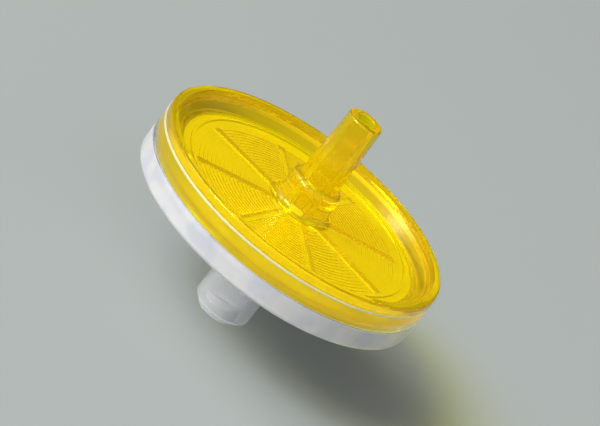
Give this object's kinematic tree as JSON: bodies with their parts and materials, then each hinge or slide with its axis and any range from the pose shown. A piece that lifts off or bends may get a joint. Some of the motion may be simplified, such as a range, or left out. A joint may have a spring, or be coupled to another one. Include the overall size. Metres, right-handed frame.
{
  "type": "syringe filter",
  "caption": "Round disc syringe filter with a female luer inlet below and a male luer outlet nozzle above.",
  "frame": {"origin": "centre of the inlet's end face, the lowest point of the part", "axes": "+Z along the part's axis, from the female luer inlet to the male luer outlet; the first locking lug is at 264 degrees from +X towards +Y"},
  "size_m": [0.034, 0.034, 0.0264],
  "materials": {
    "clear_plastic": "clear moulded plastic, slightly milky, glossy",
    "yellow_plastic": "transparent yellow moulded plastic, glossy",
    "membrane": "matt white porous polymer sheet"
  },
  "bodies": {
    "root": {"inlet_housing": "clear_plastic", "outlet_housing": "yellow_plastic", "filter_membrane": "membrane"}
  },
  "joints": []
}
